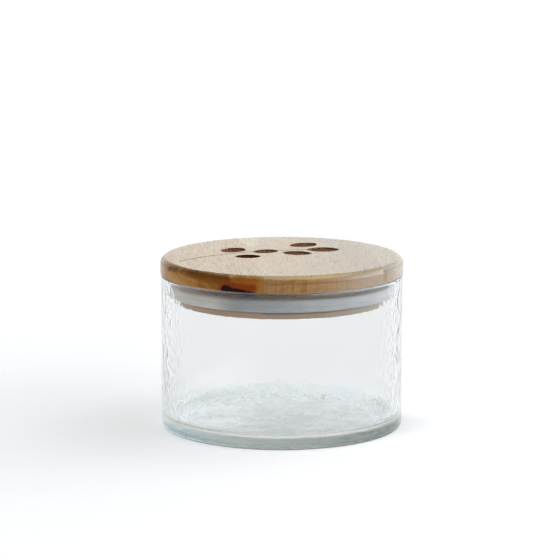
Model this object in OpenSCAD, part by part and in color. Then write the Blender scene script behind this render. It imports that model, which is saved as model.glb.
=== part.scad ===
// Squat glass keeper with a turned wooden stopper lid and a silicone gasket.
// Millimetres. The origin is the centre of the jar's foot, +Z points up, and
// the front of the lid faces -Y.

/* [Glass jar] */
// Outside diameter of the glass
jar_d = 121.6; // [100:0.2:160]
// Height of the glass from foot to rim
jar_h = 78; // [50:0.5:140]
// Thickness of the glass wall
wall_t = 4; // [2.6:0.1:6]
// Thickness of the glass floor
base_t = 5; // [4:0.1:12]
// Radius of the outside edge at the foot
foot_round = 2.2; // [1:0.1:5]
// Radius inside, where the floor meets the wall
floor_fillet = 4.2; // [1:0.1:12]
// Radius of both edges of the rim
rim_round = 1.3; // [0.4:0.1:1.8]
// Width of the flat ring that the jar stands on
foot_land = 9; // [3:0.5:20]
// Depth of the shallow hollow under the floor
punt_depth = 0.8; // [0.2:0.1:2]
// Width of the slope round that hollow
punt_slope = 5; // [1:0.5:15]

/* [Wooden lid] */
// How far the lid stands out past the glass
lid_overhang = 0.2; // [0:0.1:6]
// Thickness of the lid above the rim
lid_t = 8.2; // [5:0.1:20]
// Radius of the lid's top edge
lid_round = 3.2; // [0.5:0.1:4.5]
// Radius of the lid's lower edge
lid_lower_round = 0.6; // [0.1:0.1:2]
// Space between the plug and the glass, which the gasket fills
plug_gap = 4.4; // [2:0.1:8]
// Wood below the gasket
plug_lip = 3.85; // [2:0.05:12]
// Radius of the plug's lower edge
plug_round = 0.8; // [0.1:0.1:1.8]

/* [Lid boards] */
// Width of the right board, measured in from the lid's edge
right_board_w = 15.75; // [5:0.25:30]
// Width of the middle board
middle_board_w = 61; // [30:0.5:76]
// Turn of the boards from straight front to back, in degrees
board_turn = 7; // [-45:0.5:45]

/* [Gasket] */
// Height of the gasket
gasket_h = 6.2; // [3:0.1:12]
// Wood between the lid's underside and the gasket
gasket_drop = 4.05; // [1:0.05:10]
// Depth of the gasket's groove in the plug
groove_depth = 2.2; // [1:0.1:5]
// Radius of the gasket's outer edges
gasket_round = 1.5; // [0.3:0.1:1.5]
// Gap between the gasket and the glass
seal_gap = 0.2; // [0.1:0.05:0.5]
// Gap between the gasket and each wall of its groove
groove_gap = 0.1; // [0.05:0.01:0.3]

/* [Carved sprig] */
// Depth of the leaf pockets
carve_depth = 0.7; // [0.5:0.1:3]
// Chamfer round the mouth of each pocket
carve_chamfer = 0.2; // [0.1:0.1:0.4]
// Length of a full-size leaf
leaf_l = 16; // [10:0.5:20]
// Width of a full-size leaf
leaf_w = 12.4; // [6:0.2:13]
// Width of the stem's round groove
stem_w = 0.9; // [0.4:0.1:1.6]
// Distance from the stem's foot to the edge of the lid's flat top
stem_margin = 4; // [2:0.5:15]
// Rise of the stem's arc above its chord
stem_rise = 8; // [4:0.5:10]
// Direction of the stem's foot from the lid's axis, in degrees
stem_foot_angle = 198.4; // [150:0.1:240]

/* [Hidden] */
$fn = 96;

glass_colour = [0.86, 0.92, 0.92, 0.4];
gasket_colour = [0.8, 0.82, 0.85];
left_wood = [0.66, 0.46, 0.26];
middle_wood = [0.74, 0.58, 0.4];
right_wood = [0.78, 0.65, 0.48];

// Room that a cutting shape reaches past the solid that it cuts
over = 1;

// Least flat width left on the rim between its two rounded edges
least_rim_land = 0.4;

// Glass
jar_r = jar_d / 2;
bore_r = jar_r - wall_t;
rim_r = min(rim_round, (wall_t - least_rim_land) / 2);
punt_r = jar_r - foot_round - foot_land;

// Lid
lid_r = jar_r + lid_overhang;
lid_top = jar_h + lid_t;
flat_r = lid_r - lid_round;
plug_r = bore_r - plug_gap;
plug_bottom = jar_h - gasket_drop - gasket_h - plug_lip;

// Gasket and its groove
gasket_top = jar_h - gasket_drop;
gasket_bottom = gasket_top - gasket_h;
gasket_outer_r = bore_r - seal_gap;
gasket_inner_r = plug_r - groove_depth;

// Glue joints between the boards, measured across the grain from the lid's axis
right_joint = lid_r - right_board_w;
left_joint = right_joint - middle_board_w;

// Leaves: place from the lid's axis, direction in degrees, share of the full size
LEAVES = [
    [-24.6, 17, 55, 0.94],
    [-17, -1.9, 2, 0.8],
    [-8.2, 13.2, 30, 0.85],
    [11.1, 32.7, 40, 0.97],
    [20.9, 18.7, 0, 1.04],
    [7.7, 8, -14, 0.93],
];
tip_leaf = LEAVES[4];

// Stem: one arc from near the lid's edge to the base of the leaf at its tip
stem_foot = (flat_r - stem_margin) * [cos(stem_foot_angle), sin(stem_foot_angle)];
stem_tip = [tip_leaf[0], tip_leaf[1]]
    - tip_leaf[3] * leaf_l / 2 * [cos(tip_leaf[2]), sin(tip_leaf[2])];
stem_chord = norm(stem_tip - stem_foot);
stem_heading = atan2(stem_tip[1] - stem_foot[1], stem_tip[0] - stem_foot[0]);
stem_arc_r = stem_chord * stem_chord / (8 * stem_rise) + stem_rise / 2;
stem_half_angle = asin(stem_chord / 2 / stem_arc_r);
stem_centre = (stem_foot + stem_tip) / 2
    + (stem_arc_r - stem_rise) * [sin(stem_heading), -cos(stem_heading)];

// Radius of the two arcs that bound a pointed leaf of this length and width
function leaf_arc_r(l, w) = (l * l + w * w) / (4 * w);

// Rectangle standing on z, from the axis out to r
module half_band(r, z, h) {
    translate([0, z]) square([r, h]);
}

// Outline of a disc of radius r that stands on z, with a rounded lower edge
module low_round_outline(r, z, h, low_round) {
    half_band(r, z + low_round, h - low_round);
    half_band(r - low_round, z, h);
    translate([r - low_round, z + low_round]) circle(low_round);
}

// The same disc with its top edge rounded too
module disc_outline(r, z, h, top_round, low_round) {
    low_round_outline(r, z, h - top_round, low_round);
    half_band(r - top_round, z + low_round, h - low_round);
    translate([r - top_round, z + h - top_round]) circle(top_round);
}

// Corner piece outside a quarter round of radius r, with the corner at the origin
module corner_waste(r) {
    difference() {
        translate([-over, -over]) square(r + over);
        translate([r, r]) circle(r);
    }
}

// Inside of the glass: straight bore with a rounded floor corner, open at the rim
module bore_outline() {
    half_band(bore_r, base_t + floor_fillet, jar_h - base_t - floor_fillet + over);
    half_band(bore_r - floor_fillet, base_t, jar_h - base_t);
    translate([bore_r - floor_fillet, base_t + floor_fillet]) circle(floor_fillet);
    translate([bore_r, jar_h]) mirror([0, 1]) corner_waste(rim_r);
}

// Shallow hollow with a sloping side under the floor, so that the jar stands on a ring
module punt_outline() {
    polygon([
        [0, -over],
        [punt_r, -over],
        [punt_r, 0],
        [punt_r - punt_slope, punt_depth],
        [0, punt_depth],
    ]);
}

module glass_jar() {
    color(glass_colour)
    rotate_extrude()
    difference() {
        disc_outline(jar_r, 0, jar_h, rim_r, foot_round);
        bore_outline();
        punt_outline();
    }
}

module gasket() {
    color(gasket_colour)
    rotate_extrude()
    difference() {
        disc_outline(gasket_outer_r, gasket_bottom, gasket_h, gasket_round, gasket_round);
        half_band(gasket_inner_r, gasket_bottom - over, gasket_h + 2 * over);
    }
}

// Groove that holds the gasket, cut into the plug from outside
module groove_outline() {
    translate([gasket_inner_r - groove_gap, gasket_bottom - groove_gap])
        square([groove_depth + groove_gap + over, gasket_h + 2 * groove_gap]);
}

// One leaf pocket, pointed at both ends, with a chamfered mouth
module leaf_pocket(l, w) {
    arc_r = leaf_arc_r(l, w);
    module side(turn) {
        rotate(turn)
        translate([0, arc_r - w / 2]) {
            translate([0, 0, -carve_depth]) cylinder(h = carve_depth + over, r = arc_r);
            translate([0, 0, -carve_chamfer])
                cylinder(h = carve_chamfer + over, r1 = arc_r, r2 = arc_r + carve_chamfer + over);
        }
    }
    intersection() {
        side(0);
        side(180);
    }
}

// Round groove of the stem along its arc
module stem_groove() {
    translate([stem_centre[0], stem_centre[1], lid_top])
    rotate(stem_heading + 90 - stem_half_angle)
    rotate_extrude(angle = 2 * stem_half_angle)
    translate([stem_arc_r, 0]) circle(stem_w / 2);
}

module leaf_pockets() {
    translate([0, 0, lid_top])
    for (leaf = LEAVES)
        translate([leaf[0], leaf[1]])
        rotate(leaf[2])
        leaf_pocket(leaf[3] * leaf_l, leaf[3] * leaf_w);
}

// The lid as it comes off the lathe
module turned_lid() {
    rotate_extrude()
    difference() {
        union() {
            disc_outline(lid_r, jar_h, lid_t, lid_round, lid_lower_round);
            low_round_outline(plug_r, plug_bottom, jar_h - plug_bottom + over, plug_round);
        }
        groove_outline();
    }
}

// The board of the lid that lies between two places across the grain, with its share of the sprig
module board(low, high) {
    difference() {
        intersection() {
            turned_lid();
            rotate(board_turn)
            translate([low, -lid_r - over, plug_bottom - over])
                cube([high - low, 2 * (lid_r + over), lid_top - plug_bottom + 2 * over]);
        }
        stem_groove();
        leaf_pockets();
    }
}

module lid_stave_left() {
    color(left_wood) board(-lid_r - over, left_joint);
}

module lid_stave_middle() {
    color(middle_wood) board(left_joint, right_joint);
}

module lid_stave_right() {
    color(right_wood) board(right_joint, lid_r + over);
}

glass_jar();
gasket();
lid_stave_left();
lid_stave_middle();
lid_stave_right();
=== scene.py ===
# %% [markdown]
# # A pebbled glass keeper with a turned wooden lid
# The keeper is a squat glass jar. Its stopper lid is turned from a blank of three glued boards,
# carries a carved leaf sprig on top and wears a silicone ring round its plug. The packed solids
# give every size and joint. This lesson models each piece again with the surface that the eye sees.

import math

import bpy
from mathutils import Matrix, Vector


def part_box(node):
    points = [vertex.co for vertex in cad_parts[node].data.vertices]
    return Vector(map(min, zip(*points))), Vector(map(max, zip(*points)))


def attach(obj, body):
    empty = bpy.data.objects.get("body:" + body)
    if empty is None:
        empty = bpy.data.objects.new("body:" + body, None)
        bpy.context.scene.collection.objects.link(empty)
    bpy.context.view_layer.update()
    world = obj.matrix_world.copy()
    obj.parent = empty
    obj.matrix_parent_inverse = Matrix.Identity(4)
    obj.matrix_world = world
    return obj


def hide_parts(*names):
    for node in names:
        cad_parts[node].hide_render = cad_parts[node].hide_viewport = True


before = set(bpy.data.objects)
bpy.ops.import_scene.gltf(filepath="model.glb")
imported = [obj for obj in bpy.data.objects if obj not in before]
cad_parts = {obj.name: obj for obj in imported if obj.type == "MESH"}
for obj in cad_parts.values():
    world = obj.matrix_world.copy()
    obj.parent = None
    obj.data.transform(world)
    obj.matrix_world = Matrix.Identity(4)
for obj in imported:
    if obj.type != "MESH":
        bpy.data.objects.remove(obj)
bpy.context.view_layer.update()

# %% [markdown]
# ## Sizes
# A lathe works with radii and heights, so those are read first. Whatever the boxes of the solids
# show is taken from them. The hidden sizes, such as the wall of the glass, are named here once.
# Blender counts in metres, and MM turns a maker's millimetres into them.

# %% Read the sizes of the solids
MM = 0.001
jar_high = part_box("glass_jar")[1]
gasket_low, gasket_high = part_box("gasket")
board_low, board_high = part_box("lid_stave_middle")

jar_r = round(jar_high.x, 4)
rim_z = jar_high.z
lid_r = round(board_high.y, 4)
lid_top = board_high.z
plug_bottom = board_low.z
gasket_r = round(gasket_high.x, 4)

WALL = 4 * MM
FLOOR = 5 * MM
FOOT_ROUND = 2.2 * MM
FLOOR_FILLET = 4.2 * MM
RIM_ROUND = 1.3 * MM
FOOT_LAND = 9 * MM
PUNT_DEPTH = 0.8 * MM
PUNT_SLOPE = 5 * MM
LID_ROUND = 3.2 * MM
LID_LOWER_ROUND = 0.6 * MM
PLUG_GAP = 4.4 * MM
PLUG_ROUND = 0.8 * MM
GROOVE_DEPTH = 2.2 * MM
GROOVE_GAP = 0.1 * MM

bore_r = jar_r - WALL
plug_r = bore_r - PLUG_GAP
flat_r = lid_r - LID_ROUND
print("jar radius, rim, lid radius, lid top:", jar_r, rim_z, lid_r, lid_top)

# %% [markdown]
# ## A lathe made of operators
# Everything here is round, so each piece starts as an outline that is spun about the axis, as on a
# lathe or in a glass mould. A ready-made cylinder would need many cuts to get the same section.
# Arcs are worked out by a formula, so an outline lists only its real corners. The pen starts as a
# small plane merged to one point, and each extrude draws one more stroke.


# %% Pick up one piece
def rest():
    """Leaves edit mode and deselects everything, so that an operator acts on nothing by chance."""
    if bpy.context.mode != "OBJECT":
        bpy.ops.object.mode_set(mode="OBJECT")
    bpy.ops.object.select_all(action="DESELECT")


def take(piece):
    """Makes one piece the only selected one."""
    rest()
    piece.select_set(True)
    bpy.context.view_layer.objects.active = piece


rest()
print("selected after a rest:", len(bpy.context.selected_objects))


# %% Arcs and straight strokes
def arc(centre, radius, start, end, steps):
    """Points on an arc in the plane of radius and height, from one angle to another in degrees."""
    angles = [math.radians(start + (end - start) * i / steps) for i in range(steps + 1)]
    return [(centre[0] + radius * math.cos(a), centre[1] + radius * math.sin(a)) for a in angles]


def line(start, end, step):
    """Points on a straight stroke, about one step apart, with both ends."""
    count = max(1, round(math.dist(start, end) / step))
    return [tuple(s + (e - s) * i / count for s, e in zip(start, end)) for i in range(count + 1)]


print("points on the wall at one per millimetre:", len(line((bore_r, FLOOR), (bore_r, rim_z), MM)))

# %% Draw an outline and spin it
SAME_PLACE = 0.001 * MM
SEAM = 0.002 * MM


def draw(name, points):
    """Draws the outline with a pen that extrudes from point to point, and stays in edit mode."""
    rest()
    bpy.ops.mesh.primitive_plane_add(size=MM)
    piece = bpy.context.object
    piece.name = name
    bpy.ops.object.mode_set(mode="EDIT")
    bpy.ops.mesh.select_mode(type="VERT")
    bpy.ops.mesh.select_all(action="SELECT")
    bpy.ops.mesh.merge(type="CENTER")
    pen = points[0]
    bpy.ops.transform.translate(value=(pen[0], 0, pen[1]))
    for point in points[1:]:
        if math.dist(pen, point) < SAME_PLACE:
            continue
        stroke = (point[0] - pen[0], 0, point[1] - pen[1])
        bpy.ops.mesh.extrude_region_move(TRANSFORM_OT_translate={"value": stroke})
        pen = point
    print(name, "is drawn with", len(points), "points")
    return piece


def spin(steps):
    """Turns the drawn outline once round the axis and joins the seam."""
    bpy.ops.mesh.select_all(action="SELECT")
    bpy.ops.mesh.spin(steps=steps, angle=math.tau, center=(0, 0, 0), axis=(0, 0, 1))
    bpy.ops.mesh.select_all(action="SELECT")
    bpy.ops.mesh.remove_doubles(threshold=SEAM)


# %% Select by place, close a shell and measure it
NEAR = 0.01 * MM


def at_height(z):
    """A test for select_where: does a vertex lie at this height?"""
    return lambda p: abs(p.z - z) < NEAR


def select_where(piece, test):
    """Selects the vertices whose place passes the test, and what lies between them."""
    bpy.ops.mesh.select_mode(type="VERT")
    bpy.ops.mesh.select_all(action="DESELECT")
    bpy.ops.object.mode_set(mode="OBJECT")
    for vertex in piece.data.vertices:
        vertex.select = test(vertex.co)
    bpy.ops.object.mode_set(mode="EDIT")
    bpy.ops.mesh.select_mode(type="EDGE")


def close_shell(piece, smooth_angle):
    """Turns all faces outwards and shades what is gently curved as smooth."""
    bpy.ops.mesh.select_all(action="SELECT")
    bpy.ops.mesh.normals_make_consistent(inside=False)
    take(piece)
    bpy.ops.object.shade_smooth_by_angle(angle=math.radians(smooth_angle))


def report(piece):
    """Prints a piece's size and how many triangles it has."""
    corners = [Vector(corner) for corner in piece.bound_box]
    spans = [max(c[i] for c in corners) - min(c[i] for c in corners) for i in range(3)]
    size = [round(span / MM, 2) for span in spans]
    triangles = sum(len(face.vertices) - 2 for face in piece.data.polygons)
    print(piece.name, "measures", size, "mm and has", triangles, "triangles")


# %% [markdown]
# ## The jar's section
# The glass was blown into a mould: straight walls, a thick floor, a rounded foot and rim, and a
# shallow hollow below, so that it stands on a ring. A cylinder with a Solidify modifier would give
# floor and wall one thickness. Here the whole section is drawn and spun. It has about one point per
# millimetre, because the next step pushes pebbles into it, and a pebble needs vertices to move.

# %% Spin the glass
GLASS_STEPS = 400
STROKE = 1.05 * MM
LAND_STROKE = 3 * MM
PUNT_STROKES = 8
punt_r = jar_r - FOOT_ROUND - FOOT_LAND
floor_r = bore_r - FLOOR_FILLET


def fade(value, low, high):
    """0 below low, 1 above high, smooth between."""
    share = min(1.0, max(0.0, (value - low) / (high - low)))
    return share * share * (3 - 2 * share)


def at_floor_edge(p):
    """The open edge of the floor, at the foot of its rounded corner."""
    return at_height(FLOOR)(p) and math.hypot(p.x, p.y) < floor_r + NEAR


slope = [i / PUNT_STROKES for i in range(1, PUNT_STROKES + 1)]
outline = [(floor_r, FLOOR)]
outline += arc((floor_r, FLOOR + FLOOR_FILLET), FLOOR_FILLET, -90, 0, 9)
outline += line((bore_r, FLOOR + FLOOR_FILLET), (bore_r, rim_z - RIM_ROUND), STROKE)
outline += arc((bore_r + RIM_ROUND, rim_z - RIM_ROUND), RIM_ROUND, 180, 90, 4)
outline += arc((jar_r - RIM_ROUND, rim_z - RIM_ROUND), RIM_ROUND, 90, 0, 4)
outline += line((jar_r, rim_z - RIM_ROUND), (jar_r, FOOT_ROUND), STROKE)
outline += arc((jar_r - FOOT_ROUND, FOOT_ROUND), FOOT_ROUND, 0, -90, 6)
outline += line((jar_r - FOOT_ROUND, 0), (punt_r, 0), LAND_STROKE)
outline += [(punt_r - PUNT_SLOPE * share, PUNT_DEPTH * fade(share, 0, 1)) for share in slope]

jar = draw("pebbled_jar", outline)
spin(GLASS_STEPS)
select_where(jar, at_floor_edge)
bpy.ops.mesh.fill_grid(span=GLASS_STEPS // 4)
select_where(jar, at_height(PUNT_DEPTH))
bpy.ops.mesh.edge_face_add()
close_shell(jar, smooth_angle=60)
report(jar)

# %% [markdown]
# ## The pebbles
# The mould was hammered, so the wall is covered in shallow pebbles a few millimetres across, the
# inside ripples, and the floor is uneven. Bump mapping alone would bend the light but leave the
# outline dead straight. Three Displace modifiers push the forms into the mesh itself, each one only
# where its vertex group has weight. The foot, the rim and the bore round the plug stay true.


# %% Weigh the vertices of the glass
def weigh(piece, name, weight):
    """A vertex group whose weights come from a rule on each vertex's place."""
    group = piece.vertex_groups.new(name=name)
    for vertex in piece.data.vertices:
        amount = weight(vertex.co)
        if amount > 0:
            group.add([vertex.index], amount, "REPLACE")
    return group.name


def on_outer_wall(p):
    """The outer wall without the foot and the rim."""
    outside = fade(math.hypot(p.x, p.y), jar_r - 0.6 * WALL, jar_r - 0.2 * WALL)
    return outside * fade(p.z, 2 * MM, 8 * MM) * (1 - fade(p.z, rim_z - 5 * MM, rim_z - 2 * MM))


def on_inner_wall(p):
    """The inner wall between the rounded floor corner and the plug."""
    inside = 1 - fade(math.hypot(p.x, p.y), bore_r + 0.1 * WALL, bore_r + 0.4 * WALL)
    above_floor = fade(p.z, FLOOR + 1 * MM, FLOOR + 8 * MM)
    return inside * above_floor * (1 - fade(p.z, rim_z - 20 * MM, rim_z - 14 * MM))


def on_floor(p):
    """The inner face of the floor, fading out in its rounded corner."""
    inside = 1 - fade(math.hypot(p.x, p.y), floor_r + 1 * MM, bore_r)
    above_foot = fade(p.z, 0.5 * FLOOR, 0.9 * FLOOR)
    return inside * above_foot * (1 - fade(p.z, FLOOR + 2 * MM, FLOOR + 5 * MM))


outer_group = weigh(jar, "outer wall", on_outer_wall)
inner_group = weigh(jar, "inner wall", on_inner_wall)
floor_group = weigh(jar, "floor", on_floor)
print("vertex groups:", [group.name for group in jar.vertex_groups])

# %% Push the pebbles into the glass
PEBBLE_SIZE = 4.2 * MM
PEBBLE_DEPTH = 0.1 * MM
RIPPLE_SIZE = 11 * MM
RIPPLE_DEPTH = 0.16 * MM
SWIRL_SIZE = 18 * MM
SWIRL_DEPTH = 0.5 * MM


def relief(name, kind, size, **settings):
    """A procedural texture that a Displace modifier can read."""
    texture = bpy.data.textures.new(name, kind)
    texture.noise_scale = size
    for key, value in settings.items():
        setattr(texture, key, value)
    return texture


def push(piece, texture, group, strength, still):
    """Displaces a piece along its normals. Where the texture has the still value, nothing moves."""
    take(piece)
    modifier = piece.modifiers.new(texture.name, "DISPLACE")
    modifier.texture = texture
    modifier.texture_coords = "LOCAL"
    modifier.vertex_group = group
    modifier.strength = strength
    modifier.mid_level = still
    bpy.ops.object.modifier_apply(modifier=modifier.name)


pebbles = relief("wall pebbles", "VORONOI", PEBBLE_SIZE, distance_metric="DISTANCE_SQUARED")
ripples = relief("blown ripples", "CLOUDS", RIPPLE_SIZE, noise_depth=1)
swirls = relief("floor swirls", "CLOUDS", SWIRL_SIZE, noise_depth=2)
push(jar, pebbles, outer_group, -PEBBLE_DEPTH, still=0.1)
push(jar, ripples, inner_group, RIPPLE_DEPTH, still=0.5)
push(jar, swirls, floor_group, SWIRL_DEPTH, still=0.5)
report(jar)

# %% [markdown]
# ## The lid
# The lid and its plug are one turning, made after the boards were glued. Modelling each board by
# itself would break the round edge at every joint, so the whole lid is spun first. The sprig is then
# carved out of its top, and only then is the lid sawn along its two glue lines into boards. An inset
# round the flat top keeps the soft shading of the rounded edge out of it.

# %% Spin the whole lid
LID_STEPS = 256
TOP_INSET = 0.4 * MM
groove_r = plug_r - GROOVE_DEPTH - GROOVE_GAP
groove_top = gasket_high.z + GROOVE_GAP
groove_bottom = gasket_low.z - GROOVE_GAP

outline = arc((flat_r, lid_top - LID_ROUND), LID_ROUND, 90, 0, 10)
outline += arc((lid_r - LID_LOWER_ROUND, rim_z + LID_LOWER_ROUND), LID_LOWER_ROUND, 0, -90, 6)
outline += [(plug_r, rim_z), (plug_r, groove_top), (groove_r, groove_top)]
outline += [(groove_r, groove_bottom), (plug_r, groove_bottom)]
outline += arc((plug_r - PLUG_ROUND, plug_bottom + PLUG_ROUND), PLUG_ROUND, 0, -90, 6)

whole_lid = draw("whole_lid", outline)
spin(LID_STEPS)
select_where(whole_lid, at_height(lid_top))
bpy.ops.mesh.edge_face_add()
bpy.ops.mesh.inset(thickness=TOP_INSET)
select_where(whole_lid, at_height(plug_bottom))
bpy.ops.mesh.edge_face_add()
close_shell(whole_lid, smooth_angle=35)
report(whole_lid)

# %% [markdown]
# ## The gouges
# The sprig is six pointed leaves on a thin bent stem, cut with a router. A pointed leaf is what two
# overlapping discs share, so each gouge is the Boolean intersection of two cylinders. That needs no
# list of points. The stem is a small disc spun along one long arc. The leaf list gives each leaf's
# place from the lid's axis in millimetres, its direction in degrees and its share of the full size.

# %% Leaf gouges
LEAF_LENGTH = 16 * MM
LEAF_WIDTH = 12.4 * MM
LEAF_STEPS = 144
CARVE_DEPTH = 0.7 * MM
LEAVES = [
    (-24.6, 17, 55, 0.94),
    (-17, -1.9, 2, 0.8),
    (-8.2, 13.2, 30, 0.85),
    (11.1, 32.7, 40, 0.97),
    (20.9, 18.7, 0, 1.04),
    (7.7, 8, -14, 0.93),
]
TIP_LEAF = LEAVES[4]


def cut(piece, tool, operation):
    """Applies a Boolean of a tool to a piece and removes the tool."""
    take(piece)
    modifier = piece.modifiers.new("cut", "BOOLEAN")
    modifier.operation = operation
    modifier.solver = "EXACT"
    modifier.object = tool
    bpy.ops.object.modifier_apply(modifier=modifier.name)
    bpy.data.objects.remove(tool)


def leaf_gouge(x, y, turn, share):
    """One pointed leaf, as deep as the carving, standing in the lid's top."""
    length, width = share * LEAF_LENGTH, share * LEAF_WIDTH
    radius = (length**2 + width**2) / (4 * width)
    across = Vector((-math.sin(math.radians(turn)), math.cos(math.radians(turn)), 0))
    discs = []
    for side in (1, -1):
        rest()
        place = Vector((x * MM, y * MM, lid_top)) + side * (radius - width / 2) * across
        bpy.ops.mesh.primitive_cylinder_add(
            vertices=LEAF_STEPS, radius=radius, depth=2 * CARVE_DEPTH, location=place,
            rotation=(0, 0, math.radians(turn)))
        discs.append(bpy.context.object)
    cut(discs[0], discs[1], "INTERSECT")
    return discs[0]


print("leaves:", len(LEAVES), "the longest", round(max(leaf[3] for leaf in LEAVES) * LEAF_LENGTH, 4))

# %% Stem gouge
STEM_WIDTH = 0.9 * MM
STEM_RISE = 8 * MM
STEM_MARGIN = 4 * MM
STEM_FOOT_ANGLE = math.radians(198.4)
STEM_SIDES = 12
STEM_STEPS = 96


def stem_gouge():
    """A round rod along the stem's arc, from its foot near the rim to the leaf at its tip."""
    foot = (flat_r - STEM_MARGIN) * Vector((math.cos(STEM_FOOT_ANGLE), math.sin(STEM_FOOT_ANGLE)))
    x, y, turn, share = TIP_LEAF
    reach = share * LEAF_LENGTH / 2
    heading = Vector((math.cos(math.radians(turn)), math.sin(math.radians(turn))))
    tip = Vector((x, y)) * MM - reach * heading
    chord = tip - foot
    radius = chord.length**2 / (8 * STEM_RISE) + STEM_RISE / 2
    along = chord.normalized()
    centre = (foot + tip) / 2 + (radius - STEM_RISE) * Vector((along.y, -along.x))
    bend = 2 * math.asin(chord.length / 2 / radius)
    start = foot - centre
    rest()
    bpy.ops.mesh.primitive_circle_add(
        vertices=STEM_SIDES, radius=STEM_WIDTH / 2, fill_type="NGON", location=(*foot, lid_top),
        rotation=(math.pi / 2, 0, math.atan2(start.y, start.x)))
    rod = bpy.context.object
    bpy.ops.object.transform_apply(location=True, rotation=True, scale=True)
    bpy.ops.object.mode_set(mode="EDIT")
    bpy.ops.mesh.select_all(action="SELECT")
    bpy.ops.mesh.spin(steps=STEM_STEPS, angle=bend, center=(*centre, lid_top), axis=(0, 0, 1))
    bpy.ops.mesh.select_all(action="SELECT")
    bpy.ops.mesh.remove_doubles(threshold=SAME_PLACE)
    bpy.ops.mesh.normals_make_consistent(inside=False)
    rest()
    print("the stem bends by", round(math.degrees(bend), 1), "degrees")
    return rod


# %% [markdown]
# ## Carving the sprig
# A cutter leaves a slightly worn mouth, and a knife-sharp edge would catch no light. So the leaves
# are cut first, the sharp edges in the top are picked out by their place, and a small bevel softens
# them. The stem comes last, because its fine groove is too narrow for that bevel.

# %% Carve the leaves, soften their mouths, then cut the stem
CARVE_BEVEL = 0.2 * MM
MOUTH_MARGIN = 1 * MM


def at_pocket_mouth(p):
    """In the plane of the top, away from its border."""
    return at_height(lid_top)(p) and math.hypot(p.x, p.y) < flat_r - MOUTH_MARGIN


for leaf in LEAVES:
    cut(whole_lid, leaf_gouge(*leaf), "DIFFERENCE")
take(whole_lid)
bpy.ops.object.mode_set(mode="EDIT")
bpy.ops.mesh.select_mode(type="EDGE")
bpy.ops.mesh.select_all(action="DESELECT")
bpy.ops.mesh.edges_select_sharp(sharpness=math.radians(60))
bpy.ops.object.mode_set(mode="OBJECT")
mouths = [at_pocket_mouth(vertex.co) for vertex in whole_lid.data.vertices]
for edge in whole_lid.data.edges:
    edge.select = edge.select and all(mouths[i] for i in edge.vertices)
bpy.ops.object.mode_set(mode="EDIT")
bpy.ops.mesh.bevel(offset=CARVE_BEVEL, segments=2, profile=0.5, clamp_overlap=True)
rest()
cut(whole_lid, stem_gouge(), "DIFFERENCE")
report(whole_lid)

# %% [markdown]
# ## Sawing the lid into its boards
# The glue lines show on the real lid as a sudden change of grain from board to board. Each board is
# a copy of the carved lid, cut back to its own width with Bisect, which also closes the sawn face.
# A Boolean with a box would do the same more slowly. A second material slot on the pockets' walls
# and floors will hold the darker stain of the carving.

# %% Mark the carving, then saw the boards
BOARD_TURN = math.radians(7)
RIGHT_BOARD = 15.75 * MM
MIDDLE_BOARD = 61 * MM
CARVED_FROM = 0.02 * MM
CARVED_TO = 1.1 * CARVE_DEPTH
CARVED_MARGIN = 2 * MM
across_grain = Vector((math.cos(BOARD_TURN), math.sin(BOARD_TURN), 0))
right_joint = lid_r - RIGHT_BOARD
left_joint = right_joint - MIDDLE_BOARD


def saw(name, cuts):
    """A copy of the lid without what lies beyond each cut: (place across the grain, side to drop)."""
    take(whole_lid)
    bpy.ops.object.duplicate()
    board = bpy.context.object
    board.name = name
    board.data.name = name
    bpy.ops.object.mode_set(mode="EDIT")
    for place, side in cuts:
        bpy.ops.mesh.select_all(action="SELECT")
        bpy.ops.mesh.bisect(
            plane_co=across_grain * place, plane_no=across_grain * side, use_fill=True,
            clear_outer=True)
    bpy.ops.mesh.select_all(action="SELECT")
    bpy.ops.mesh.dissolve_degenerate(threshold=SAME_PLACE)
    take(board)
    bpy.ops.object.shade_smooth_by_angle(angle=math.radians(20))
    report(board)
    return board


for face in whole_lid.data.polygons:
    carved = CARVED_FROM < lid_top - face.center.z < CARVED_TO
    face.material_index = int(carved and face.center.xy.length < flat_r - CARVED_MARGIN)
whole_lid.data.materials.append(None)
whole_lid.data.materials.append(None)
boards = {
    "left": saw("carved_board_left", [(left_joint, 1)]),
    "middle": saw("carved_board_middle", [(left_joint, -1), (right_joint, 1)]),
    "right": saw("carved_board_right", [(right_joint, -1)]),
}
bpy.data.objects.remove(whole_lid)

# %% [markdown]
# ## The silicone ring
# The ring is a solid band with rounded edges that sits in the plug's groove. A torus would be round
# all over, so the flat-backed section is drawn and spun. Moulded rings carry a fine parting line
# halfway up, where the two halves of the mould met, and the outline has one too.

# %% Spin the ring
GASKET_ROUND = 1.5 * MM
PARTING_HEIGHT = 0.12 * MM
PARTING_WIDTH = 0.4 * MM
ring_inner_r = plug_r - GROOVE_DEPTH
face_r = gasket_r - PARTING_HEIGHT
parting_z = (gasket_low.z + gasket_high.z) / 2

outline = [(ring_inner_r, gasket_high.z)]
outline += arc((face_r - GASKET_ROUND, gasket_high.z - GASKET_ROUND), GASKET_ROUND, 90, 0, 8)
outline += [(face_r, parting_z + PARTING_WIDTH / 2), (gasket_r, parting_z)]
outline += [(face_r, parting_z - PARTING_WIDTH / 2)]
outline += arc((face_r - GASKET_ROUND, gasket_low.z + GASKET_ROUND), GASKET_ROUND, 0, -90, 8)
outline += [(ring_inner_r, gasket_low.z), (ring_inner_r, gasket_high.z)]

ring = draw("silicone_ring", outline)
spin(LID_STEPS)
close_shell(ring, smooth_angle=35)
report(ring)

# %% [markdown]
# ## Shader maths as plain sums
# A finish is a network of nodes, and wiring it line by line hides the idea. Here a Signal wraps one
# output socket, so that sums and products of signals add Math nodes by themselves. A Network is a
# node tree in the making. Its node method makes every other kind of node.


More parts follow.
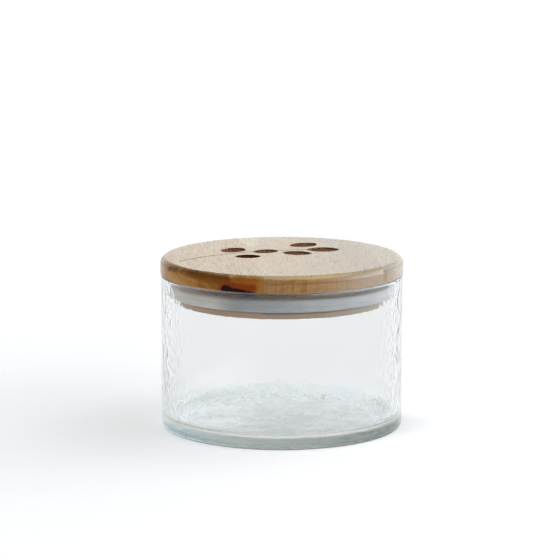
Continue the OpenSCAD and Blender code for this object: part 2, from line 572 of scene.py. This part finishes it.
# %% Signals
class Signal:
    """One output of a node: a value, a colour or a shader that changes over a surface."""

    def __init__(self, network, socket):
        self.network = network
        self.socket = socket

    def math(self, operation, first, second):
        """Adds one Math node."""
        return self.network.node("ShaderNodeMath", {"operation": operation}, {0: first, 1: second})

    def __add__(self, other):
        return self.math("ADD", self, other)

    def __sub__(self, other):
        return self.math("SUBTRACT", self, other)

    def __rsub__(self, other):
        return self.math("SUBTRACT", other, self)

    def __mul__(self, other):
        return self.math("MULTIPLY", self, other)

    def __truediv__(self, other):
        return self.math("DIVIDE", self, other)

    def __mod__(self, other):
        return self.math("FLOORED_MODULO", self, other)

    def __abs__(self):
        return self.math("ABSOLUTE", self, 0.0)

    __radd__ = __add__
    __rmul__ = __mul__

    def least(self, other):
        """The smaller of two values."""
        return self.math("MINIMUM", self, other)

    def rise(self, low, high):
        """0 below low, 1 above high, smooth between."""
        settings = {"interpolation_type": "SMOOTHSTEP"}
        inputs = {"Value": self, "From Min": low, "From Max": high}
        return self.network.node("ShaderNodeMapRange", settings, inputs)


print(Signal.__name__, "is", Signal.__doc__)


# %% Networks
class Network:
    """The node tree of a material or of the world, in the making."""

    def __init__(self, owner):
        self.owner = owner
        owner.use_nodes = True
        self.tree = owner.node_tree
        self.tree.nodes.clear()

    def node(self, kind, settings, inputs, output=0):
        """Adds a node, sets it up, feeds its sockets, and returns one of its outputs as a signal."""
        node = self.tree.nodes.new(kind)
        for name, value in settings.items():
            setattr(node, name, value)
        for key, value in inputs.items():
            if isinstance(value, Signal):
                self.tree.links.new(value.socket, node.inputs[key])
            else:
                node.inputs[key].default_value = value
        return Signal(self, node.outputs[output] if len(node.outputs) else None)

    def mix(self, share, first, second, blend="MIX"):
        """Blends two colours, each a signal or a plain colour."""
        settings = {"data_type": "RGBA", "blend_type": blend}
        inputs = {0: share}
        for key, colour in ((6, first), (7, second)):
            inputs[key] = colour if isinstance(colour, Signal) else (*colour, 1.0)
        return self.node("ShaderNodeMix", settings, inputs, output=2)

    def vector(self, operation, first, second=(0, 0, 0), output=0):
        """Vector maths on two places or directions."""
        settings = {"operation": operation}
        return self.node("ShaderNodeVectorMath", settings, {0: first, 1: second}, output)

    def length(self, vector):
        """How long a vector is."""
        return self.vector("LENGTH", vector, output="Value")

    def part(self, vector, axis):
        """One axis of a vector: X, Y or Z."""
        return self.node("ShaderNodeSeparateXYZ", {}, {0: vector}, output=axis)


print(Network.__name__, "is", Network.__doc__)

# %% [markdown]
# ## Patterns in space
# A Finish is a material whose patterns live in the piece's own space, in millimetres. So noise and
# spots need no UV map and run through the solid, as real grain does. A rod is a spot with two ends,
# such as a stain or a knot. The distance from it, divided by its radius, is 1 at its skin.


# %% Finishes
class Finish(Network):
    """A material with its base colour, which is tinted step by step."""

    def __init__(self, name):
        super().__init__(bpy.data.materials.new(name))
        self.colour = None

    def place(self, turn=0.0):
        """Object coordinates in millimetres, turned about the axis."""
        where = self.node("ShaderNodeTexCoord", {}, {}, output="Object")
        inputs = {"Vector": where, "Rotation": (0, 0, turn), "Scale": (1 / MM, 1 / MM, 1 / MM)}
        return self.node("ShaderNodeMapping", {}, inputs)

    def stretch(self, where, grain, shift=0.0):
        """Divides a place by a grain's size along each axis, and shifts it to its own sample."""
        scale = [1 / size for size in grain]
        inputs = {"Vector": where, "Scale": scale, "Location": (shift, shift, shift)}
        return self.node("ShaderNodeMapping", {}, inputs)

    def noise(self, where, grain, shift=0.0, detail=2.0, roughness=0.5):
        """Soft noise around 0.5, with spots of the grain's size."""
        inputs = {"Vector": self.stretch(where, grain, shift), "Scale": 1.0}
        inputs.update({"Detail": detail, "Roughness": roughness})
        return self.node("ShaderNodeTexNoise", {}, inputs)

    def spots(self, where, grain, shift=0.0):
        """Distance to the nearest of many scattered points, in grains."""
        inputs = {"Vector": self.stretch(where, grain, shift), "Scale": 1.0}
        return self.node("ShaderNodeTexVoronoi", {}, inputs, output="Distance")

    def rod(self, where, start, end, start_r, end_r):
        """Distance from a tapered rod in millimetres, divided by its radius there, so 1 is its skin."""
        start, end = Vector(start), Vector(end)
        run = end - start
        offset = self.vector("SUBTRACT", where, start)
        along = self.vector("DOT_PRODUCT", offset, run / run.length_squared, output="Value")
        share = self.node("ShaderNodeClamp", {}, {"Value": along})
        foot = self.node("ShaderNodeVectorMath", {"operation": "SCALE"}, {0: run, "Scale": share})
        distance = self.length(self.vector("SUBTRACT", offset, foot))
        return distance / (start_r + (end_r - start_r) * share)

    def bump(self, height, reach):
        """A normal bent by a height between 0 and 1, where 1 stands for the reach in metres."""
        return self.node("ShaderNodeBump", {}, {"Height": height, "Distance": reach})

    def tint(self, share, colour, blend="MIX"):
        """Lays a share of a colour over the base colour."""
        self.colour = self.mix(share, self.colour, colour, blend)

    def show(self, surface, **inputs):
        """Joins the surface to the material's output and returns the material."""
        self.node("ShaderNodeOutputMaterial", {}, {"Surface": surface, **inputs})
        return self.owner


print(Finish.__name__, "is", Finish.__doc__)

# %% [markdown]
# ## The glass
# Clear soda glass has a faint grey-green body that only shows where the light runs far through it,
# as in the thick floor. A volume that absorbs a little red gives exactly that. What the jar stands
# among also colours it: the real foot is blue-grey at the left, dark at the right, with a cream strip
# above it, and the floor has pale patches and a wavering end. A whole room would have to be built to
# mirror that, so those places are tinted instead, by height, radius and side.

# %% Colours of the glass
GLASS_TINT = (0.928, 0.931, 0.933)
GLASS_BODY = (0.40, 0.50, 0.46)
GLASS_DENSITY = 9.0
GLASS_SHADOW = (0.88, 0.89, 0.89)
# From here on, the floor and foot colours are painted reflections of the surroundings, and the darkest
# foot colour is painted shade along its lower edge.
FLOOR_TINT = (0.80, 0.885, 0.915)
FLOOR_PALE = (0.91, 0.945, 0.95)
FLOOR_END_REFLECTION = (0.50, 0.55, 0.60)
FOOT_LEFT = (0.25, 0.36, 0.45)
FOOT_MIDDLE = (0.68, 0.72, 0.70)
FOOT_RIGHT = (0.14, 0.18, 0.18)
FOOT_EDGE_SHADE = (0.05, 0.06, 0.06)
CREAM_REFLECTION = (0.70, 0.62, 0.57)
bore_mm = bore_r / MM
floor_mm = FLOOR / MM
rim_mm = rim_z / MM


class JarGlass(Finish):
    """Clear glass with painted reflections tinted into its floor and foot."""

    def __init__(self):
        super().__init__("pebbled glass")
        self.where = self.place()
        self.across = self.part(self.where, "X")
        self.depth = self.part(self.where, "Y")
        self.height = self.part(self.where, "Z")
        self.radius = self.length(self.vector("MULTIPLY", self.where, (1, 1, 0)))
        self.mottle = self.noise(self.where, (5, 5, 2), 13, detail=3.0).rise(0.3, 0.7)
        self.tint_floor()
        self.tint_foot()

    def tint_floor(self):
        """Painted reflections: swirls on the floor, and a wavering grey line where they end on the
        wall.
        """
        inner = 1 - self.radius.rise(bore_mm + 0.7, bore_mm + 1.7)
        waver = self.noise(self.where, (9, 9, 5), 17, detail=4.0)
        above = (self.height + 9 * waver).rise(floor_mm + 7.4, floor_mm + 8.6)
        swirl = self.noise(self.where, (16, 9, 16), 21, detail=3.0).rise(0.38, 0.66)
        self.floor = inner * self.height.rise(floor_mm - 2, floor_mm - 0.5) * (1 - above)
        self.colour = self.mix(self.floor, GLASS_TINT, self.mix(swirl, FLOOR_TINT, FLOOR_PALE))
        # A painted reflection: the grey line where the floor's swirls end.
        self.tint(2.4 * above * (1 - above) * self.mottle * inner, FLOOR_END_REFLECTION)

    def tint_foot(self):
        """Painted reflections on the front of the foot and in the cream strip above it, and painted
        shade along its lower edge.
        """
        front = self.radius.rise(bore_mm + 0.4, bore_mm + 1.4) * (1 - self.depth.rise(-25, 5))
        below_floor = 1 - self.height.rise(floor_mm, floor_mm + 2.5)
        tone = self.mix(self.across.rise(5, 48), FOOT_MIDDLE, FOOT_RIGHT)
        tone = self.mix(1 - self.across.rise(-52, -18), tone, FOOT_LEFT)
        self.tint(front * below_floor * (0.6 + 0.4 * self.mottle), tone)
        # Painted shade along the foot's lower edge.
        self.tint(0.8 * front * (1 - self.height.rise(0.3, FOOT_ROUND / MM)), FOOT_EDGE_SHADE)
        strip = self.height.rise(floor_mm + 0.5, floor_mm + 2)
        strip = strip * (1 - self.height.rise(floor_mm + 3, floor_mm + 4))
        # A painted reflection: the cream strip above the foot.
        self.tint(0.8 * front * strip, CREAM_REFLECTION)


print("bore, floor and rim in mm:", round(bore_mm, 2), round(floor_mm, 2), round(rim_mm, 2))

# %% [markdown]
# ## The surface of the glass
# The finest dimples are too small for the mesh, so a bump adds them. They give the crooked lines
# behind the floor and the ragged ends of the ring at the jar's sides. The rim was ground, so it is
# matt. Glass blocks lamps completely in a path tracer unless it is told otherwise, so shadow rays
# pass as through a window.

# %% Glass finish
GLASS_IOR = 1.5
DIMPLE_DEPTH = 0.06 * MM


def pebbled_glass():
    """Clear, dimpled glass with a faint haze, a scuffed foot and a ground rim."""
    glass = JarGlass()
    ripple = glass.noise(glass.where, (3, 3, 3), detail=3.0)
    dimple = glass.spots(glass.where, (2.4, 2.4, 4.2), 5).rise(0.25, 0.75)
    haze = glass.noise(glass.where, (20, 20, 20), 7).rise(0.4, 0.8)
    scuffed = 1 - glass.height.rise(0.8, 2.4)
    ground = glass.height.rise(rim_mm - 1, rim_mm - 0.5)
    body = glass.node("ShaderNodeBsdfPrincipled", {}, {
        "Base Color": glass.colour,
        "Roughness": 0.03 * haze + 0.3 * scuffed + 0.2 * glass.floor + 0.65 * ground,
        "Metallic": 0.08 * ground,
        "IOR": GLASS_IOR,
        "Transmission Weight": 1.0,
        "Normal": glass.bump(0.5 * ripple + 0.5 * dimple, DIMPLE_DEPTH),
    })
    window = glass.node("ShaderNodeBsdfTransparent", {}, {"Color": (*GLASS_SHADOW, 1.0)})
    shadow_ray = glass.node("ShaderNodeLightPath", {}, {}, output="Is Shadow Ray")
    surface = glass.node("ShaderNodeMixShader", {}, {0: shadow_ray, 1: body, 2: window})
    absorbed = {"Color": (*GLASS_BODY, 1.0), "Density": GLASS_DENSITY}
    return glass.show(surface, Volume=glass.node("ShaderNodeVolumeAbsorption", {}, absorbed))


jar.data.materials.append(pebbled_glass())
print("glass:", [m.name for m in jar.data.materials])

# %% [markdown]
# ## The silicone
# The ring is milky silicone: matt, a little see-through, with the fine bloom and dust that silicone
# gathers. A plain grey would look like plastic, so some light scatters under its surface. Its left end
# is paler and creamier, a painted light laid on as one soft rod of paler colour.

# %% Silicone finish
SILICONE = (0.325, 0.332, 0.34)
SILICONE_BLOOM = (0.39, 0.395, 0.4)
SILICONE_PAINTED_LIGHT = (0.81, 0.79, 0.72)
PAINTED_LIGHT_PATCH = ((-57, -10, 71), (-38, -42, 71), 26, 20)
SCATTER = 3 * MM
DUST_HEIGHT = 0.02 * MM


def milky_silicone():
    """Soft grey silicone with bloom, dust and a patch of painted light at the left."""
    silicone = Finish("milky silicone")
    where = silicone.place()
    bloom = silicone.noise(where, (9, 9, 3), detail=4.0)
    dust = silicone.noise(where, (0.5, 0.5, 0.5), 3)
    silicone.colour = silicone.mix(bloom.rise(0.35, 0.7), SILICONE, SILICONE_BLOOM)
    # Painted light: the left end of the ring is paler and creamier.
    silicone.tint(1 - silicone.rod(where, *PAINTED_LIGHT_PATCH).rise(0.2, 1.0), SILICONE_PAINTED_LIGHT)
    return silicone.show(silicone.node("ShaderNodeBsdfPrincipled", {}, {
        "Base Color": silicone.colour,
        "Roughness": 0.35 + 0.25 * bloom,
        "IOR": 1.41,
        "Subsurface Weight": 0.25,
        "Subsurface Radius": (SCATTER, SCATTER, SCATTER),
        "Subsurface Scale": 1.0,
        "Normal": silicone.bump(dust, DUST_HEIGHT),
    }))


ring.data.materials.append(milky_silicone())
print("ring:", [m.name for m in ring.data.materials])

# %% [markdown]
# ## The wood
# Wood is a solid stuff: rings grow round a pith, and fibres and pores run along the trunk. Painted
# on, a grain would break at every edge. Here every texture lives in space, so the same pores that
# are dashes on the top come out as dots on the end grain at the front, and the rings turn the edge.
# The top is painted paler, as light falls on it, and the side darker, as painted shade, so masks for
# the faces that look up, the rounded shoulder, the end grain, the plug and the strip of painted shade
# by the ring come first.

# %% Grain and faces of a board
PAINTED_SIDE_SHADE = (0.775, 0.745, 0.85)
END_STREAK = (0.5, 0.4, 0.3)
END_GRAIN = (0.55, 0.42, 0.28)
PAINTED_TOP_LIGHT = (0.75, 0.61, 0.41)
PORE = (0.09, 0.035, 0.012)
PLUG_GREY = (0.46, 0.39, 0.31)
PAINTED_RING_SHADE = (0.14, 0.055, 0.0)
YEAR = 3.4
YEAR_WANDER = 9.0
WOOD_IOR = 1.16
WOOD_RELIEF = 0.012 * MM
seal_mm = gasket_low.z / MM


class BoardWood(Finish):
    """Oiled wood of one board, with its own pith, tones and sample of the textures."""

    # bloom sets how strong the painted light on the faces that look up is.
    def __init__(self, name, pith, light, dark, sample, bloom=0.55):
        super().__init__(name)
        self.where = self.place(-BOARD_TURN)
        self.find_grain(pith, sample)
        self.find_faces()
        self.colour_wood(light, dark)
        self.paint_light_and_marks(bloom)

    def find_grain(self, pith, sample):
        """Growth rings, fine fibres, soft patches, pores, and the streaks of the end grain."""
        wander = self.noise(self.where, (22, 140, 22), sample)
        out = self.vector("SUBTRACT", self.where, (pith[0], 0, pith[1]))
        from_pith = self.length(self.vector("MULTIPLY", out, (1, 0, 1)))
        year = ((from_pith + YEAR_WANDER * wander) / YEAR) % 1.0
        self.ring = year.rise(0.1, 0.85) * (1 - year.rise(0.9, 1.0))
        self.fibre = self.noise(self.where, (0.8, 12, 0.8), sample, detail=4.0, roughness=0.6)
        self.cloud = self.noise(self.where, (18, 55, 18), sample + 5)
        self.pore = 1 - self.spots(self.where, (1.3, 7.0, 1.3), sample).rise(0.08, 0.26)
        self.streak = self.noise(self.where, (1.8, 60, 30), sample + 9).rise(0.45, 0.7)

    def find_faces(self):
        """Masks of the turned lid's faces, from their height and from where they look."""
        self.across = self.part(self.where, "X")
        self.height = self.part(self.where, "Z")
        normal = self.node("ShaderNodeTexCoord", {}, {}, output="Normal")
        self.upward = self.part(normal, "Z")
        self.top = self.upward.rise(0.4, 0.96)
        self.shoulder = self.upward.rise(0.15, 0.4) * (1 - self.upward.rise(0.85, 0.99))
        along_grain = (-math.sin(BOARD_TURN), math.cos(BOARD_TURN), 0)
        facing = self.vector("DOT_PRODUCT", normal, along_grain, output="Value")
        self.end_grain = abs(facing).rise(0.35, 0.8) * (1 - self.upward.rise(0.3, 0.75))
        self.plug = 1 - self.height.rise(seal_mm - 1.2, seal_mm - 0.4)
        # Painted shade on the plug, from just under the ring up to near the rim.
        above_lip = self.height.rise(seal_mm - 1.65, seal_mm - 1.25)
        self.shade_by_ring = above_lip * (1 - self.height.rise(rim_mm - 2, rim_mm))

    def colour_wood(self, light, dark):
        """The tones of the fresh wood, with painted shade on the side, and darker on the end grain."""
        tone = 0.15 * self.ring + 0.9 * self.fibre + 0.5 * self.cloud - 0.3
        self.colour = self.mix(tone.rise(0.1, 0.9), light, dark)
        # Painted shade: the side is darker than the top.
        self.tint(1 - self.top, PAINTED_SIDE_SHADE, "MULTIPLY")
        self.tint(0.6 * self.streak * self.end_grain, END_STREAK, "MULTIPLY")
        self.tint(0.75 * self.end_grain, END_GRAIN, "MULTIPLY")

    def paint_light_and_marks(self, bloom):
        """Painted light on the faces that look up, dark pores, the greyed plug and painted shade in the
        strip by the ring.
        """
        # Painted light: the faces that look up are paler.
        self.tint(bloom * self.upward.rise(0.45, 1.0) * (1.6 - 1.3 * self.fibre), PAINTED_TOP_LIGHT)
        self.tint(0.8 * self.pore, PORE)
        self.tint(0.45 * self.plug, PLUG_GREY)
        # Painted shade by the ring.
        self.tint(0.8 * self.shade_by_ring, PAINTED_RING_SHADE)

    def oil(self, satin):
        """Thin oil over the wood, which mostly mirrors at a shallow angle, with satin on the side."""
        return self.show(self.node("ShaderNodeBsdfPrincipled", {}, {
            "Base Color": self.colour,
            "Roughness": 0.2 + 0.15 * self.fibre + 0.2 * self.pore,
            "IOR": WOOD_IOR,
            "Normal": self.bump(0.4 * self.fibre - 1.0 * self.pore, WOOD_RELIEF),
            "Coat Roughness": 0.18,
            "Coat Weight": 0.27 * self.top + (1 - self.top) * satin,
        }))


print("a year of growth:", YEAR, "mm, turn of the boards:", round(math.degrees(BOARD_TURN), 1))

# %% [markdown]
# ## The left board
# The left board has a dark knot at its lower front edge with a red glow round it, amber wood above, and
# a dark brown band along its shoulder. A painted image would do for one view only. Each mark is a rod
# in space here, and noise makes its skin ragged, so it also turns the edge as a real knot does.

# %% Left board finish
SATIN = 0.05
LEFT_LIGHT = (0.72, 0.385, 0.08)
LEFT_DARK = (0.38, 0.16, 0.018)
SHOULDER_BROWN = (0.155, 0.05, 0.0)
AMBER_BROWN = (0.28, 0.09, 0.003)
GLOW_RED = (0.17, 0.028, 0.0)
HALO_RED = (0.22, 0.032, 0.0)
KNOT_BLACK = (0.008, 0.001, 0.0)
JOINT_BROWN = (0.30, 0.17, 0.06)
PLUG_WARM = (0.56, 0.31, 0.17)
SHOULDER_BAND_LEFT = ((-55.5, -24, 83.8), (-42, -43, 84.0), 1.2, 2.0)
SHOULDER_BAND_RIGHT = ((-42, -43, 84.0), (-27, -54, 83.2), 2.0, 2.4)
AMBER = ((-21, -56.5, 83.0), (-11, -59.5, 82.0), 3.0, 3.4)
GLOW = ((-26, -55.2, 80.8), (-14, -59.4, 80.6), 2.2, 2.0)
KNOT = ((-27.5, -54.5, 78.5), (-14, -59.3, 77.7), 2.4, 1.0)
KNOT_HEART = ((-18, -51, 76.2), (-10, -52, 76.0), 3.0, 3.0)
lid_mm = lid_r / MM
left_mm = left_joint / MM


def left_wood():
    """Warm oiled wood with a dark brown band along the shoulder, the amber patch and the knot."""
    wood = BoardWood("left board wood", (-70, 40), LEFT_LIGHT, LEFT_DARK, sample=11)
    spot = wood.place()
    inland = 1 - wood.across.rise(left_mm - 3.25, left_mm - 0.05)
    patches = wood.noise(spot, (3, 3, 3), 8, detail=3.0)
    ragged = 1.2 * wood.noise(spot, (3, 6, 3), 2, detail=3.0) - 0.6
    shoulder_band = wood.rod(spot, *SHOULDER_BAND_LEFT).least(wood.rod(spot, *SHOULDER_BAND_RIGHT)) + patches - 0.5
    amber = wood.rod(spot, *AMBER) + 0.6 * patches - 0.3
    glow = wood.rod(spot, *GLOW) + 0.8 * patches - 0.4
    knot = wood.rod(spot, *KNOT).least(wood.rod(spot, *KNOT_HEART)) + ragged
    # The shoulder is darker brown along this band.
    wood.tint(0.9 * (1 - shoulder_band.rise(0.6, 1.6)) * inland, SHOULDER_BROWN)
    wood.tint(0.85 * (1 - amber.rise(0.5, 1.6)) * inland, AMBER_BROWN)
    wood.tint(0.95 * (1 - glow.rise(0.3, 1.5)), GLOW_RED)
    wood.tint(0.95 * (1 - knot.rise(0.8, 2.6)), HALO_RED)
    wood.tint(1 - knot.rise(0.85, 1.35), KNOT_BLACK)
    by_joint = wood.across.rise(left_mm - 4.75, left_mm - 0.15)
    wood.tint(0.55 * by_joint * (1 - wood.top), JOINT_BROWN)
    wood.tint(0.6 * wood.plug, PLUG_WARM)
    left_end = 1 - wood.across.rise(-lid_mm, 2.2 - lid_mm)
    return wood.oil(SATIN + 0.4 * left_end)


woods = {"left": left_wood()}
print("left board:", woods["left"].name)

# %% [markdown]
# ## The middle and the right board
# The middle board has a pale streak of sapwood at the back, a fine line of painted shade where its
# rounded edge begins, and it turns greyer and shinier towards the right. The right board is pale and
# grey. Both have painted shade on the shoulder at the right end, so that it doesn't shine out under the
# window.

# %% Middle and right board finishes
MIDDLE_LIGHT = (0.71, 0.49, 0.2)
MIDDLE_DARK = (0.44, 0.26, 0.094)
RIGHT_LIGHT = (0.53, 0.48, 0.36)
RIGHT_DARK = (0.43, 0.38, 0.27)
SAPWOOD_PALE = (0.86, 0.74, 0.5)
GREYED = (0.305, 0.265, 0.21)
CREASE_SHADE = (0.1, 0.045, 0.015)
SHOULDER_SHADE = (0.5, 0.5, 0.5)
COOL_PAINTED_SHADE = (0.5, 0.5, 0.52)
MIDDLE_PITH = (14, 10)
SAPWOOD = ((-12, 62, 84), (-11, 30, 84), 9.0, 3.0)
crease_shade_mm = (lid_top - LID_ROUND) / MM - 0.2


def middle_wood():
    """Honey-brown wood that turns grey towards the right joint."""
    wood = BoardWood("middle board wood", MIDDLE_PITH, MIDDLE_LIGHT, MIDDLE_DARK, sample=23)
    ragged = 0.9 * wood.noise(wood.where, (5, 20, 5), 4, detail=3.0) - 0.45
    sapwood = wood.rod(wood.where, *SAPWOOD) + ragged
    wood.tint(0.6 * (1 - sapwood.rise(0.7, 1.2)), SAPWOOD_PALE)
    wood.tint(0.75 * wood.across.rise(0.0, 42.0) * (1 - 0.5 * wood.top), GREYED)
    # Painted shade: a fine dark line in the crease where the rounded edge begins.
    step = 1 - abs(wood.height - crease_shade_mm).rise(0.2, 0.8)
    wood.tint(0.35 * step * (1 - wood.across.rise(10.0, 40.0)), CREASE_SHADE)
    # Painted shade on the right part of the shoulder.
    wood.tint(0.45 * wood.across.rise(20.0, 42.0) * wood.shoulder, SHOULDER_SHADE, "MULTIPLY")
    return wood.oil(SATIN + 0.8 * wood.across.rise(18.0, 34.0) * wood.upward.rise(0.02, 0.14))


def right_wood():
    """Pale grey wood, with painted shade on its shoulder."""
    wood = BoardWood("right board wood", (95, 30), RIGHT_LIGHT, RIGHT_DARK, sample=37)
    # Painted shade on the shoulder.
    wood.tint(0.75 * wood.shoulder, COOL_PAINTED_SHADE, "MULTIPLY")
    return wood.oil(SATIN)


woods["middle"] = middle_wood()
woods["right"] = right_wood()
print("boards:", {side: wood.name for side, wood in woods.items()})

# %% [markdown]
# ## The stain in the carving
# The pockets are dark brown and rough, because the cutter tore the fibres and the stain sank in. A
# darker tone of the same wood alone would look too clean. So scrape marks lighten the pockets in
# places, the leaf nearest to the front is burnt almost black, and there is no oil and no bloom.

# %% Carving finish, and all boards dressed
CARVED_LIGHT = (0.25, 0.105, 0.045)
CARVED_DARK = (0.09, 0.033, 0.013)
SCRAPED = (0.42, 0.24, 0.13)
BURNT_BLACK = (0.06, 0.016, 0.007)
BURNT_LEAF = ((-20, -1.9, 85.5), (-14, -1.9, 85.5), 5.0, 5.0)
SCRAPE_DEPTH = 0.15 * MM


def carved_wood():
    """The stained floor and walls of the carving, browner where the tool left it rough."""
    wood = BoardWood("stained carving", MIDDLE_PITH, CARVED_LIGHT, CARVED_DARK, sample=51, bloom=0.0)
    scrape = wood.noise(wood.where, (0.8, 1.8, 0.8), 9, detail=3.0)
    wood.tint(0.9 * scrape.rise(0.42, 0.7), SCRAPED)
    burnt = wood.rod(wood.place(), *BURNT_LEAF)
    wood.tint(0.95 * (1 - burnt.rise(1.2, 1.7)), BURNT_BLACK)
    return wood.show(wood.node("ShaderNodeBsdfPrincipled", {}, {
        "Base Color": wood.colour,
        "Roughness": 0.75 + 0.2 * wood.fibre,
        "IOR": 1.3,
        "Specular IOR Level": 0.1,
        "Normal": wood.bump(scrape, SCRAPE_DEPTH),
    }))


carving = carved_wood()
for side, board in boards.items():
    board.data.materials[0] = woods[side]
    board.data.materials[1] = carving
    print(board.name, [m.name for m in board.data.materials])

# %% [markdown]
# ## The paper
# The keeper stands on a white sweep that is lit until it burns out to white. A brighter lamp would
# bleach the wood too, so the paper gives off a little light itself, and the soft shade that the jar
# casts is painted into that glow as a few ovals and one ring. The paper lies a hair above zero, so the
# ring under the glass dips into it. With a gap there, the glass would mirror and look grey.

# %% White sweep
PAPER_SIZE = 24
PAPER_PLACE = (0, 6, 0.05 * MM)
PAPER_WHITE = (0.95, 0.95, 0.95)
PAPER_GLOW = 0.41
WHITE = (1.0, 1.0, 1.0)
BLACK = (0.0, 0.0, 0.0)
# Each oval of shade: amount, centre, squash along each axis, radius of full and of no shade
SHADES = [
    (0.2, (-20, -12, 0), (1, 1, 0), 48, 125),
    (0.6, (0, -28, 0), (0.5, 1, 0), 8, 20),
    (0.9, (22, 2, 0), (0.75, 1, 0), 12, 50),
]
FOOT_SHADE = 0.25
FOOT_SHADE_R = 54


def white_paper():
    """Matt white paper whose glow is dimmed under and beside the jar."""
    paper = Finish("white paper")
    spot = paper.place()
    shade = FOOT_SHADE * (1 - abs(paper.length(spot) - FOOT_SHADE_R).rise(1, 7))
    for amount, centre, squash, full, none in SHADES:
        offset = paper.vector("MULTIPLY", paper.vector("SUBTRACT", spot, centre), squash)
        shade = shade + amount * (1 - paper.length(offset).rise(full, none))
    return paper.show(paper.node("ShaderNodeBsdfPrincipled", {}, {
        "Base Color": (*PAPER_WHITE, 1.0),
        "Roughness": 0.9,
        "Specular IOR Level": 0.0,
        "Emission Color": paper.mix(shade, WHITE, BLACK),
        "Emission Strength": PAPER_GLOW,
    }))


rest()
bpy.ops.mesh.primitive_plane_add(size=PAPER_SIZE, location=PAPER_PLACE)
sweep = bpy.context.object
sweep.name = "white_sweep"
bpy.ops.object.transform_apply(location=True, rotation=True, scale=True)
sweep.data.materials.append(white_paper())
print("paper:", sweep.name, tuple(round(side, 2) for side in sweep.dimensions))

# %% [markdown]
# ## The light
# Lamps would show as hard spots in so much glass, so all the light comes from the sky. A broad window
# to the right gives the lid its bright end, and a white horizon is mirrored by the top at a shallow
# angle, which makes it pale. The left corner behind the jar is dimmer. The ceiling is dark, so the
# rounded shoulder of the lid, which looks up at it, keeps its warm colour.

# %% Studio air
CEILING = (0.12, 0.12, 0.125)
HORIZON = (1.6, 1.6, 1.6)
WINDOW = (3.7, 3.8, 3.9)


def studio_air():
    """A world with a dark ceiling, a bright horizon and a window at the right."""
    sky = Network(bpy.data.worlds.new("studio air"))
    direction = sky.node("ShaderNodeTexCoord", {}, {}, output="Generated")
    rightward, backward, upward = [sky.part(direction, axis) for axis in "XYZ"]
    corner = (1 - rightward.rise(-0.7, -0.25)) * backward.rise(0.0, 0.5)
    horizon = (1 - upward.rise(0.2, 0.42)) * (0.55 + 0.45 * backward.rise(-0.3, 0.9))
    window = rightward.rise(0.2, 0.75) * (1 - upward.rise(0.5, 0.75))
    colour = sky.mix(horizon * (1 - 0.35 * corner), CEILING, HORIZON)
    colour = sky.mix(window, colour, WINDOW)
    air = sky.node("ShaderNodeBackground", {}, {"Color": colour, "Strength": 1.0})
    sky.node("ShaderNodeOutputWorld", {}, {"Surface": air})
    return sky.owner


bpy.context.scene.world = studio_air()
print("world:", bpy.context.scene.world.name)

# %% [markdown]
# ## The camera
# A long lens from about one and a half metres, a little above the lid, keeps the lid's oval flat and
# the jar's sides upright. Light crosses many glass faces on its way here, so more bounces are allowed
# than Blender starts with. With fewer, the foot of the jar would turn dark.

# %% Camera
CAMERA_PLACE = (-0.00088, -1.4836, 0.34224)
CAMERA_PITCH = math.radians(90 - 10.256)
CAMERA_LENS = 192.65
SENSOR_WIDTH = 36
BOUNCES = 24
GLOSSY_BOUNCES = 16

rest()
bpy.ops.object.camera_add(location=CAMERA_PLACE, rotation=(CAMERA_PITCH, 0, 0))
camera = bpy.context.object
camera.data.lens = CAMERA_LENS
camera.data.sensor_width = SENSOR_WIDTH
scene = bpy.context.scene
scene.camera = camera
scene.view_settings.view_transform = "Standard"
scene.cycles.max_bounces = BOUNCES
scene.cycles.glossy_bounces = GLOSSY_BOUNCES
print("camera at", tuple(camera.location), "lens", camera.data.lens)

# %% [markdown]
# ## Putting it together
# Each modelled piece stands for one solid and rides on that solid's body, so the lid can be lifted out
# with its ring and turned in it.

# %% Bodies and replaced solids
PIECES = [
    (jar, "jar", "glass_jar", "pebbled_glass"),
    (ring, "seal", "gasket", "silicone"),
    (boards["left"], "lid", "lid_stave_left", "left_board_wood"),
    (boards["middle"], "lid", "lid_stave_middle", "middle_board_wood"),
    (boards["right"], "lid", "lid_stave_right", "right_board_wood"),
]
for piece, body, node, slot in PIECES:
    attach(piece, body)
    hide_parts(node)
